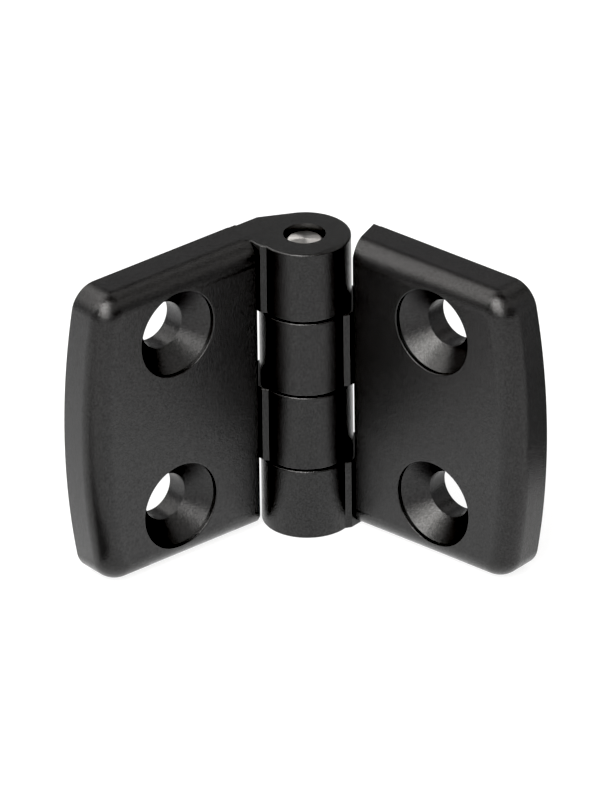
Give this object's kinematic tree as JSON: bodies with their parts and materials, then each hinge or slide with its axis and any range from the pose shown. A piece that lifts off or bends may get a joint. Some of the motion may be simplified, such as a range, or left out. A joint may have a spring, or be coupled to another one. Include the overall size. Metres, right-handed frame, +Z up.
{
  "type": "plastic hinge",
  "caption": "Black moulded plastic butt hinge with rounded leaves, countersunk screw holes and a steel pin, shown partly open.",
  "frame": {"origin": "on the fixed leaf's flat mounting face, midway between its two screw holes", "axes": "+Y is the outward normal of the fixed leaf's mounting face; +Z runs up along the hinge pin; +X points from the fixed leaf towards the barrel"},
  "size_m": [0.0515, 0.0436, 0.045],
  "materials": {
    "black_plastic": "black glass-filled plastic with a fine satin moulded grain",
    "pin_steel": "bright turned steel with faint concentric tool marks on its ends"
  },
  "bodies": {
    "fixed_leaf_body": {"fixed_leaf": "black_plastic", "hinge_pin": "pin_steel"},
    "moving_leaf_body": {"moving_leaf": "black_plastic"}
  },
  "joints": [
    {"name": "leaf_fold", "type": "hinge", "parent": "fixed_leaf_body", "child": "moving_leaf_body", "pos_m": [0.0216, -0.0084, 0], "axis": [0, 0, 1], "range_deg": [-100.5, 130]}
  ]
}
